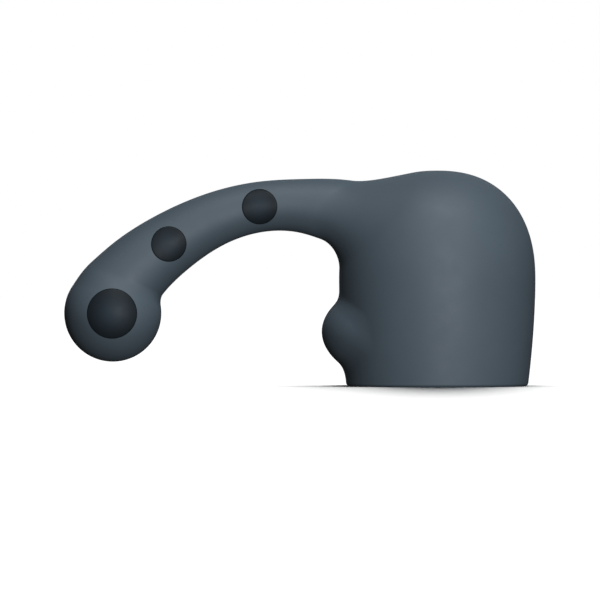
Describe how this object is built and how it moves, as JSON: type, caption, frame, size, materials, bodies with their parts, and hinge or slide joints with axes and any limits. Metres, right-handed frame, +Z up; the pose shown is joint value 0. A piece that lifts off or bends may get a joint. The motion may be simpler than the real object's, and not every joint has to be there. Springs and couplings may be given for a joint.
{
  "type": "wand massager attachment",
  "caption": "Slate-grey silicone attachment for a wand massager: a domed hood that grips the head, a curved weighted arm with a round tip, and a broad front bump.",
  "frame": {"origin": "on the axis of the bore that grips the wand's head, in the plane of the rim", "axes": "+Z up the bore towards the dome, -X the way the arm reaches, Y across the arm"},
  "size_m": [0.1696, 0.0706, 0.0775],
  "materials": {
    "silicone": "matte",
    "cup_silicone": "satin",
    "weight_steel": "polished"
  },
  "bodies": {
    "hood": {"hood": "silicone"},
    "neck": {"neck_section": "silicone"},
    "arm_inner": {"arm_inner_section": "silicone", "inner_weight_ball": "weight_steel", "inner_weight_cup_right": "cup_silicone", "inner_weight_cup_left": "cup_silicone"},
    "arm_outer": {"arm_outer_section": "silicone", "middle_weight_ball": "weight_steel", "middle_weight_cup_right": "cup_silicone", "middle_weight_cup_left": "cup_silicone", "tip_weight_ball": "weight_steel", "tip_weight_cup_right": "cup_silicone", "tip_weight_cup_left": "cup_silicone"}
  },
  "joints": [
    {"name": "arm_lift", "type": "hinge", "parent": "hood", "child": "neck", "pos_m": [-0.043, 0, 0.064], "axis": [0, 1, 0], "range_deg": [-4, 20], "stiffness_Nm_per_rad": 0.4, "springref_deg": 6.19},
    {"name": "arm_sway", "type": "hinge", "parent": "neck", "child": "arm_inner", "pos_m": [-0.052, 0, 0.0647], "axis": [0, 0, 1], "range_deg": [-20, 20], "stiffness_Nm_per_rad": 0.4},
    {"name": "arm_curl", "type": "hinge", "parent": "arm_inner", "child": "arm_outer", "pos_m": [-0.0828, 0, 0.0586], "axis": [0, 1, 0], "range_deg": [-4, 14], "stiffness_Nm_per_rad": 0.6, "springref_deg": 1.55}
  ]
}
